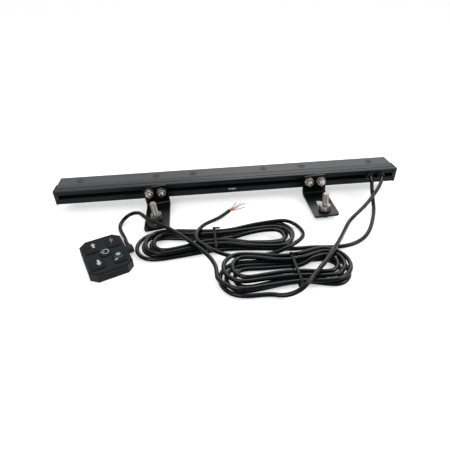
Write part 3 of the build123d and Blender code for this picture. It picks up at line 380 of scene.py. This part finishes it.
# A whole winding. Each part is given with its numbers in the lists lefts and rights
def woundRoute(form, startsPastTie, leavesLeft):
    wide, mid, small = lead["halves"]
    leftEnd, rightEnd = form["ends"]
    low, high = layerLow, layerHigh
    parts = []
    if startsPastTie:
        parts.append((0, 0, woundRun(form, -1, wide, -1, low, low)))
    for index, (half, nextHalf) in enumerate(((wide, mid), (mid, small))):
        parts.append((index, index, woundTurn(form, leftEnd, -1, half, half, -1, low)))
        parts.append((index, index + 1, woundRun(form, 1, half, 1, low, low)))
        parts.append((index, index + 1, woundTurn(form, rightEnd, 1, half, nextHalf, 1, low)))
        parts.append((index + 1, index + 1, woundRun(form, -1, nextHalf, -1, low, low)))
    parts.append((2, 2, woundTurn(form, leftEnd, -1, small, small, -1, low)))
    parts.append((2, 3, woundRun(form, 1, small, 1, low, high)))
    for index, (half, nextHalf) in enumerate(((small, mid), (mid, wide))):
        parts.append((3, 3 + index, woundTurn(form, rightEnd, 1, half, half, 1, high)))
        parts.append((3 + index, 3 + index, woundRun(form, -1, half, -1, high, high)))
        parts.append((3 + index, 3, woundTurn(form, leftEnd, -1, half, nextHalf, -1, high)))
        parts.append((3 + index, 4 + index, woundRun(form, 1, nextHalf, 1, high, high)))
    if leavesLeft:
        parts.append((5, 5, woundTurn(form, rightEnd, 1, wide, wide, 1, high)))
        parts.append((5, 5, woundRun(form, -1, wide, -1, high, high)))
    points = []
    for leftIndex, rightIndex, spots in parts:
        for spot in spots:
            points.append(fanned(form, spot, (form["lefts"][leftIndex], form["rights"][rightIndex])))
    return points


# Where the key pad lies, how far it is turned, and where on it the lead goes in
pad = {"place": (-154.4, -106.0), "turn": 23, "gland": (27.8, 7.0, 5.6)}


def onPad(x, y, height=0.0):
    angle = radians(pad["turn"])
    return (
        pad["place"][0] + x * cos(angle) - y * sin(angle),
        pad["place"][1] + x * sin(angle) + y * cos(angle),
        floorLine + height,
    )


# The power lead runs from the rail into the hank. Its tail turns back at the right, passes along the hank's
# front and crosses it to the bared wires
power = {
    "start": [
        (195.8, -2.5, 0), (195.0, -10.0, -0.6), (192.4, -18.0, -5.5), (190.4, -28.0, -12.6), (188.4, -38.5, -19.8),
        (185.0, -51.0, floorZ), (176.0, -68.0, floorZ), (165.5, -86.0, floorZ), (153.0, -102.5, floorZ),
        (136.5, -114.5, floorZ), (117.0, -119.5, floorZ), (97.0, -118.0, floorZ), (79.0, -115.5, floorZ),
        (60.0, -118.0, layerLow),
    ],
    "end": [
        (53.0, -65.6, layerHigh), (64.0, -63.8, -20.3), (73.8, -68.8, -23.0), (79.0, -79.0, floorZ),
        (78.5, -91.0, -23.0), (73.5, -103.0, -19.0), (64.5, -113.0, -16.8), (52.0, -121.0, -17.3),
        (38.0, -123.6, -21.5), (22.0, -123.5, floorZ), (2.0, -123.8, floorZ), (-16.0, -122.5, -21.8),
        (-31.0, -118.5, -16.3), (-42.5, -112.0, -12.3), (-50.5, -102.0, -12.0), (-51.5, -89.5, -12.0),
        (-45.0, -75.5, -12.3), (-37.0, -61.0, -17.0), (-26.0, -47.5, -22.0), (-15.0, -35.5, floorZ),
        (-5.0, -24.5, floorZ),
    ],
}
# The control lead crosses over the power lead and the coil, goes into it at the front, and leaves it at the left
# in one arch to the key pad
wideHalf = lead["halves"][0]
coilExit = (coil["ends"][0] - wideHalf - lead["exitStep"], coil["y"] + lead["exitStep"])
control = {
    "start": [
        (212.2, -2.5, 0), (210.0, -9.5, -0.5), (203.2, -19.5, -3.2), (190.5, -33.5, -8.0), (174.0, -48.0, -15.5),
        (158.0, -58.5, -21.5), (144.5, -69.0, floorZ), (133.5, -84.5, floorZ), (123.0, -101.0, -21.0),
        (113.0, -117.0, -16.0), (102.0, -133.0, -12.0), (89.0, -150.0, -11.5), (74.0, -166.0, -11.5),
        (60.0, -181.0, -11.5), (50.0, -189.2, -15.0), (39.5, -190.8, -20.0), (29.5, -188.4, layerLow),
        (19.0, -184.6, layerLow),
    ],
    "end": [
        (coil["ends"][0] - wideHalf * tan(pi / 8), coil["y"] - wideHalf, layerHigh),
        (coilExit[0], coilExit[1] - 12.0, layerHigh), (*coilExit, layerHigh), (coilExit[0], -141.5, layerHigh),
        (-38.0, -127.5, -15.5), (-50.0, -113.0, -12.3), (-62.0, -98.0, -12.0), (-73.0, -84.5, -12.0),
        (-85.5, -71.0, -11.5), (-99.9, -59.9, -11.0), (-113.0, -47.5, -11.0), (-118.4, -37.7, -11.5),
        (-124.0, -30.5, -13.0), (-133.4, -26.8, -16.0), (-142.0, -30.0, -20.0), (-147.2, -37.5, -23.3),
        (-147.2, -46.5, floorZ), (-144.4, -55.0, floorZ), (-140.4, -64.0, -24.2), (-137.2, -72.0, -23.0),
        onPad(27.8, 16.6, 5.6), onPad(*pad["gland"]),
    ],
}
powerRoute = power["start"] + woundRoute(hank, True, False) + power["end"]
controlRoute = control["start"] + woundRoute(coil, False, True) + control["end"]
powerLead = roundCurve("powerLead", [powerRoute], lead["diameter"], sheath)
controlLead = roundCurve("controlLead", [controlRoute], lead["diameter"], sheath)
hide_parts("power_lead_run", "power_lead_hank", "power_lead_tail")
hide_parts("control_lead_run", "control_lead_coil", "control_lead_loop")

# Four wires, each with its bare copper strands. A route starts with the wire's quarter of the lead's end
wires = {
    "diameter": 1.5, "apart": 0.05, "strands": 5, "strandDiameter": 0.3, "strandRing": 0.3,
    "routes": {
        "Red": [(-1, 1), (4.8, -19.3, -23.3), (11.5, -16.0, -22.3), (18.5, -12.8, -21.6)],
        "Yellow": [(1, 1), (1.2, -18.2, -23.2), (4.2, -13.2, -22.2), (6.2, -8.6, -21.6)],
        "Brown": [(-1, -1), (4.5, -22.4, -24.6), (10.8, -22.2, -23.6), (17.0, -21.2, -22.8)],
        "Black": [(1, -1), (3.6, -17.8, -24.9), (8.4, -13.2, -24.2), (12.8, -8.9, -23.2)],
    },
}
tailEnd, tailBefore = Vector(power["end"][-1]), Vector(power["end"][-2])
tailWay = (tailEnd - tailBefore).normalized()
tailSide = tailWay.cross(Vector((0, 0, 1)))
wireStep = wires["diameter"] / 2 + wires["apart"]
for colour, ((across, rise), *spots) in wires["routes"].items():
    slot = f"wire_{colour.lower()}"
    start = tailEnd - tailSide * across * wireStep + Vector((0, 0, rise * wireStep))
    leave = start + tailWay * 2 * wires["diameter"]
    first, before, last = (Vector(spot) for spot in spots)
    bared = first.lerp(before, 0.2)  # the sheath ends here
    route = [tuple(spot) for spot in (start - tailWay * 2, leave, first, bared)]
    wire = roundCurve(f"wire{colour}", [route], wires["diameter"], wireLooks[colour], 4)
    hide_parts(slot)
    way = (last - before).normalized()
    sideways = way.cross(Vector((0, 0, 1)))
    strandRoutes = []
    for index in range(wires["strands"]):
        angle = index * 2 * pi / wires["strands"]
        offset = sideways * cos(angle) * wires["strandRing"] + Vector((0, 0, sin(angle) * wires["strandRing"]))
        flare = offset * (1.2 + 0.5 * (index % 2))
        strand = (first + offset, bared + offset, before + offset, last + flare - way * 0.4)
        strandRoutes.append([tuple(spot) for spot in strand])
    strands = roundCurve(f"strands{colour}", strandRoutes, wires["strandDiameter"], copper, 2)

# Twist ties: a band round the strands, and its two ends twisted together on top
ties = {
    "besideSlack": 0.15, "aboveSlack": 0.3, "sides": 48,
    # the band's section, as places across and out: a ribbon that thickens toward its middle
    "section": ((-1.0, 0.1), (-1.5, 0.35), (-1.0, 0.6), (0, 0.78), (1.0, 0.6), (1.5, 0.35), (1.0, 0.1), (0, 0.02)),
    "wire": 1.3, "radius": 0.75, "steps": 16, "advance": 0.55, "turn": 0.8, "lift": 1.5,
}
bundleHeight = layerHigh - layerLow + lead["diameter"] + ties["aboveSlack"]
bundleMiddle = (layerLow + layerHigh) / 2


def twistTie(name, form, replaced):
    reach = wideHalf - form["waist"] + lead["diameter"] / 2 + ties["besideSlack"]
    corner = lead["diameter"] / 2
    bm = bmesh.new()
    rings = []
    for index in range(ties["sides"]):
        angle = index * 2 * pi / ties["sides"]
        spot = Vector((cos(angle), sin(angle)))
        centre = Vector((reach - corner if spot.x > 0 else corner - reach, 0))
        centre.y = bundleHeight / 2 - corner if spot.y > 0 else corner - bundleHeight / 2
        ring = []
        for across, out in ties["section"]:
            at = centre + spot * (corner + out)
            ring.append(bm.verts.new(Vector((form["tie"] + across, form["y"] + at.x, bundleMiddle + at.y)) * mm))
        rings.append(ring)
    for ring, nextRing in zip(rings, rings[1:] + rings[:1]):
        for index in range(len(ring)):
            bm.faces.new((ring[index - 1], ring[index], nextRing[index], nextRing[index - 1]))
    band = meshPiece(f"{name}Band", bm, moulded)
    axleY = form["y"] + reach - lead["diameter"]
    axleZ = bundleMiddle + bundleHeight / 2 + ties["lift"]
    strands = []
    for turned in (0, pi):
        strand = []
        for step in range(ties["steps"]):
            angle = turned + step * ties["turn"]
            strand.append((
                form["tie"] - 1.2 + step * ties["advance"],
                axleY + ties["radius"] * cos(angle),
                axleZ + ties["radius"] * sin(angle),
            ))
        strands.append(strand)
    twist = roundCurve(f"{name}Twist", strands, ties["wire"], moulded, 3)
    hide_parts(replaced)
    return [band, twist]


hankTie = twistTie("hankTie", hank, "hank_tie")
coilTie = twistTie("coilTie", coil, "coil_tie")
print("leads laid")


# Closes a stack of rings of points into a solid, with a face on its first and last ring
def stackRings(bm, place, rings):
    made = [[bm.verts.new(place @ (Vector(spot) * mm)) for spot in ring] for ring in rings]
    for ring, nextRing in zip(made, made[1:]):
        for index in range(len(ring)):
            bm.faces.new((ring[index - 1], ring[index], nextRing[index], nextRing[index - 1]))
    bm.faces.new(list(reversed(made[0])))
    bm.faces.new(made[-1])


# A threaded rod: the ridge climbs once round for each pitch, fades at both ends and stops at a chamfered tip
def threadRings(low, high, radius, depth, pitch, tip):
    count = int((high - low) / pitch * 6)
    sides = 30
    rings = []
    for step in range(count + 1):
        z = low + (high - low) * step / count
        ring = []
        for index in range(sides):
            angle = index * 2 * pi / sides
            phase = (z / pitch - index / sides) % 1.0
            ridge = 1 - abs(2 * phase - 1)
            fade = min(1.0, (high - z) / pitch, (z - low) / pitch)
            reach = min(radius - depth * (1 - ridge * fade), radius - max(0.0, tip - (high - z)))
            ring.append((reach * cos(angle), reach * sin(angle), z))
        rings.append(ring)
    return rings


# A hexagon head whose lower corners are turned off
def hexRings(flats, low, high):
    rim = flats / 2 - 0.1
    sides = 48
    flat, chamfered, outer = [], [], []
    for index in range(sides):
        angle = index * 2 * pi / sides
        reach = flats / 2 / cos((angle + pi / 6) % (pi / 3) - pi / 6)
        drop = (reach - rim) * 0.55
        flat.append((rim * cos(angle), rim * sin(angle), low))
        chamfered.append((reach * cos(angle), reach * sin(angle), low + drop))
        outer.append((reach * cos(angle), reach * sin(angle), high))
    return [flat, chamfered, outer]


# Roof bolts are M8 and stand in the leaning feet, and rail bolts are M6 with a flat head in the rail's slot
roofBolts = {
    "flats": 13.0, "head": (-26.3, -21.03), "top": 7.0,
    "thread": {"radius": 4.0, "depth": 0.55, "pitch": 1.25, "tip": 1.0},
}
railBolts = {
    "beside": 8.15, "shank": (-2.0, 12.2), "head": (6.0, 4.0, 10.0), "headBehind": 4.0, "rounding": 0.3,
    "thread": {"radius": 3.0, "depth": 0.45, "pitch": 1.0, "tip": 1.0},
}
brackets = {
    "left": {"x": -101.5, "lean": 7.0, "boltReach": 42.0},
    "right": {"x": 116.5, "lean": 3.0, "boltReach": 50.0},
}
for side, bracket in brackets.items():
    middle = bracket["x"]
    stand = shifted(middle, -bracket["boltReach"], 0) @ Matrix.Rotation(-radians(bracket["lean"]), 4, "Y")
    bm = bmesh.new()
    stackRings(bm, stand, hexRings(roofBolts["flats"], *roofBolts["head"]))
    stackRings(bm, stand, threadRings(roofBolts["head"][1], roofBolts["top"], **roofBolts["thread"]))
    roofBolt = meshPiece(f"{side}RoofBolt", bm, dullSteel, f"{side}_roof_fixing", False)
    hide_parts(f"{side}_roof_bolt")
    bm = bmesh.new()
    for x in (middle - railBolts["beside"], middle + railBolts["beside"]):
        outward = shifted(x, 0, 0) @ Matrix.Rotation(pi / 2, 4, "X")
        stackRings(bm, outward, threadRings(*railBolts["shank"], **railBolts["thread"]))
        behind = railBolts["headBehind"]
        head = bmesh.ops.create_cube(bm, size=1.0, matrix=shifted(x, behind, 0))["verts"]
        bmesh.ops.scale(bm, vec=Vector(railBolts["head"]) * mm, verts=head, space=shifted(-x, -behind, 0))
        edges = list({edge for vert in head for edge in vert.link_edges})
        bmesh.ops.bevel(bm, geom=edges, offset=railBolts["rounding"] * mm, segments=2, affect="EDGES")
    teeBolts = meshPiece(f"{side}TeeBolts", bm, stainless, f"{side}_clamp", False)
    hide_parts(f"{side}_tee_bolts")
print("bolts threaded")


# Painted shade: a thin black ring round each cover screw stands for the shade in the pressed groove round its head.
# Geometry nodes set one such ring on each screw's place
coverShadeRings = {
    "radius": 4.4, "section": 0.36, "height": 8.93, "y": 26.5,
    "places": (-203.98, -101.05, -49.82, 49.82, 104.81, 203.98),
}


def shadeRingTree():
    tree = bpy.data.node_groups.new("shadeRingOnEachScrew", "GeometryNodeTree")
    tree.interface.new_socket("Places", in_out="INPUT", socket_type="NodeSocketGeometry")
    for name in ("Ring Radius", "Section Radius"):
        tree.interface.new_socket(name, in_out="INPUT", socket_type="NodeSocketFloat")
    tree.interface.new_socket("Rings", in_out="OUTPUT", socket_type="NodeSocketGeometry")
    entry = addNode(tree, "NodeGroupInput").outputs
    ring = addNode(tree, "GeometryNodeCurvePrimitiveCircle", Resolution=48, Radius=entry["Ring Radius"])
    section = addNode(tree, "GeometryNodeCurvePrimitiveCircle", Resolution=10, Radius=entry["Section Radius"])
    swept = addNode(tree, "GeometryNodeCurveToMesh",
                    Curve=ring.outputs["Curve"], Profile_Curve=section.outputs["Curve"])
    placed = addNode(tree, "GeometryNodeInstanceOnPoints", Points=entry["Places"], Instance=swept.outputs[0])
    solid = addNode(tree, "GeometryNodeRealizeInstances", Geometry=placed.outputs[0])
    # The rings are black, as painted shade
    coated = addNode(tree, "GeometryNodeSetMaterial", Geometry=solid.outputs[0], Material=moulded)
    addNode(tree, "NodeGroupOutput", Rings=coated.outputs[0])
    return tree


ringPlaces = bpy.data.meshes.new("coverScrewPlaces")
ringSpots = [Vector((x, coverShadeRings["y"], coverShadeRings["height"])) * mm for x in coverShadeRings["places"]]
ringPlaces.from_pydata(ringSpots, [], [])
holder = addObject("coverScrewPlaces", ringPlaces)
modifier = holder.modifiers.new("rings", "NODES")
modifier.node_group = shadeRingTree()
inputs = {item.name: item.identifier for item in modifier.node_group.interface.items_tree if item.in_out == "INPUT"}
modifier[inputs["Ring Radius"]] = coverShadeRings["radius"] * mm
modifier[inputs["Section Radius"]] = coverShadeRings["section"] * mm
built = bpy.data.meshes.new_from_object(holder.evaluated_get(bpy.context.evaluated_depsgraph_get()))
bpy.data.objects.remove(holder)
# The baked rings of painted shade round the cover screws
coverShadeRim = addObject("coverScrewShadeRings", built)
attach(coverShadeRim, "root")
print("cover screw rims set")


# Key symbols: thin raised shapes on the key tops, drawn on the pad's own plane
marks = {
    "low": 11.9, "high": 12.1, "shaft": 1.4, "arrowHead": 3.0,
    "up": {"x": -9.0, "tail": 14.4, "neck": 19.8, "tip": 23.0},
    "down": {"x": -10.2, "tail": -10.2, "neck": -15.6, "tip": -20.0},
    "powerRing": {"centre": (0.7, 0.9), "inner": 3.4, "outer": 4.3, "first": -155, "last": 140},
    "powerStroke": ((-4.6, 1.1), (-0.4, 1.1), 0.9),
    "sun": {"centre": (12.3, -10.8), "disc": 1.9, "rays": 8, "rayFrom": 2.1, "rayTo": 3.0, "rayWidth": 0.7},
    "minus": ((6.6, -19.6), (9.6, -18.4), 1.5),
    "dimArc": {"centre": (12.3, -12.0), "inner": 4.7, "outer": 5.4, "first": 200, "last": 318},
    "flash": [(12.6, 24.2), (9.6, 18.6), (11.5, 18.9), (10.2, 12.2), (14.6, 19.9), (12.7, 19.6)],
}


def symbol(name, key, outlines, material):
    bm = bmesh.new()
    for outline in outlines:
        low, high = (
            [bm.verts.new(Vector(onPad(x, y, marks[level])) * mm) for x, y in outline] for level in ("low", "high"))
        bm.faces.new(list(reversed(low)))
        bm.faces.new(high)
        for index in range(len(low)):
            bm.faces.new((low[index - 1], low[index], high[index], high[index - 1]))
    return meshPiece(name, bm, material, key, False)


def stroke(start, end, width):
    start, end = Vector(start), Vector(end)
    way = (end - start).normalized() * width / 2
    side = Vector((-way.y, way.x))
    blunt = way * 0.6  # how far the rounded ends stand out
    return [tuple(spot) for spot in (
        start + side, start - blunt, start - side, end - side, end + blunt, end + side)]


def arcBand(centre, inner, outer, first, last, steps=28):
    angles = [radians(first + (last - first) * step / steps) for step in range(steps + 1)]
    rim = [(centre[0] + outer * cos(angle), centre[1] + outer * sin(angle)) for angle in angles]
    return rim + [(centre[0] + inner * cos(angle), centre[1] + inner * sin(angle)) for angle in reversed(angles)]


def arrow(x, tail, neck, tip):
    shaft, head = marks["shaft"], marks["arrowHead"]
    return [(x - shaft, tail), (x + shaft, tail), (x + shaft, neck), (x + head, neck), (x, tip), (x - head, neck),
            (x - shaft, neck)]


def sunShapes(centre, disc, rays, rayFrom, rayTo, rayWidth):
    middle = Vector(centre)
    ways = [Vector((cos(index * 2 * pi / rays), sin(index * 2 * pi / rays))) for index in range(rays)]
    rim = [(middle.x + disc * cos(index * pi / 12), middle.y + disc * sin(index * pi / 12)) for index in range(24)]
    return [rim, *(stroke(middle + way * rayFrom, middle + way * rayTo, rayWidth) for way in ways)]


symbol("upSymbol", "key_up", [arrow(**marks["up"])], paleInk)
symbol("downSymbol", "key_down", [arrow(**marks["down"])], paleInk)
symbol("powerSymbol", "key_power", [arcBand(**marks["powerRing"]), stroke(*marks["powerStroke"])], paleInk)
symbol("sunSymbol", "key_brightness", [*sunShapes(**marks["sun"]), stroke(*marks["minus"])], paleInk)
symbol("dimSymbol", "key_brightness", [arcBand(**marks["dimArc"])], wornInk)
symbol("modeSymbol", "key_mode", [marks["flash"]], wornInk)
print("symbols laid")

# Floor: it glows a little to the camera, in reflections and through the lens, so that it reads as white paper
stage = {
    "floorHalf": 6, "floorGap": 0.0001, "floorGlow": 0.42,
    # the white room's strength in reflections, from the side behind the camera to the far side
    "room": {"From_Min": -0.6, "From_Max": 0.9, "To_Min": 0.2, "To_Max": 0.95},
    # its strength for the other kinds of ray
    "rays": {"Is Diffuse Ray": 0.6, "Is Camera Ray": 1.0, "Is Transmission Ray": 1.0},
    "aim": (0, -0.06, 0),
    # place, size and power of each lamp
    "lamps": {
        "topLight": ((0.35, 0.7, 1.05), 1.0, 8.0),
        "sideLight": ((0.9, -0.4, 0.7), 0.5, 4.0),
        "frontLight": ((-0.6, -0.9, 0.8), 0.6, 5.0),
    },
}
reach = stage["floorHalf"]
floorMesh = bpy.data.meshes.new("studioFloor")
floorMesh.from_pydata(
    [(-reach, -reach, 0), (reach, -reach, 0), (reach, reach, 0), (-reach, reach, 0)], [], [(0, 1, 2, 3)])
floorPiece = addObject("studioFloor", floorMesh)
floorPiece.location.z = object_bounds()[0].z - stage["floorGap"]
paper = finish("plain white floor", "#f4f4f4", "#f8f8f8", 0.7, 0.02, grain=20, bump=0.0)
tree = paper.node_tree
seen = addNode(tree, "ShaderNodeLightPath").outputs
direct = addNode(tree, "ShaderNodeMath", {0: seen["Is Camera Ray"], 1: seen["Is Glossy Ray"]}, operation="ADD")
shown = addNode(tree, "ShaderNodeMath", {0: direct.outputs[0], 1: seen["Is Transmission Ray"]}, operation="ADD",
                use_clamp=True)
glow = addNode(tree, "ShaderNodeMath", {0: shown.outputs[0], 1: stage["floorGlow"]}, operation="MULTIPLY")
shader = tree.nodes["Principled BSDF"]
tree.links.new(glow.outputs[0], shader.inputs["Emission Strength"])
shader.inputs["Emission Color"].default_value = (1, 1, 1, 1)
floorMesh.materials.append(paper)

# Studio light: a white room and three soft lamps
world = bpy.data.worlds.new("studio")
bpy.context.scene.world = world
world.use_nodes = True
tree = world.node_tree
lookWay = addNode(tree, "ShaderNodeSeparateXYZ", Vector=addNode(tree, "ShaderNodeTexCoord").outputs["Generated"])
strength = addNode(tree, "ShaderNodeMapRange", Value=lookWay.outputs[1], **stage["room"]).outputs[0]
rayKinds = addNode(tree, "ShaderNodeLightPath").outputs
for kind, value in stage["rays"].items():
    strength = addNode(tree, "ShaderNodeMix", {0: rayKinds[kind], 2: strength, 3: value}, data_type="FLOAT").outputs[0]
background = tree.nodes["Background"]
tree.links.new(strength, background.inputs["Strength"])
background.inputs["Color"].default_value = (1, 1, 1, 1)
for name, (place, size, watts) in stage["lamps"].items():
    light = bpy.data.lights.new(name, "AREA")
    light.size = size
    light.energy = watts
    lamp = addObject(name, light)
    lamp.location = place
    lamp.rotation_mode = "QUATERNION"
    lamp.rotation_quaternion = (Vector(stage["aim"]) - Vector(place)).to_track_quat("-Z", "Y")
bpy.context.scene.view_settings.view_transform = "Standard"
print("stage lit")
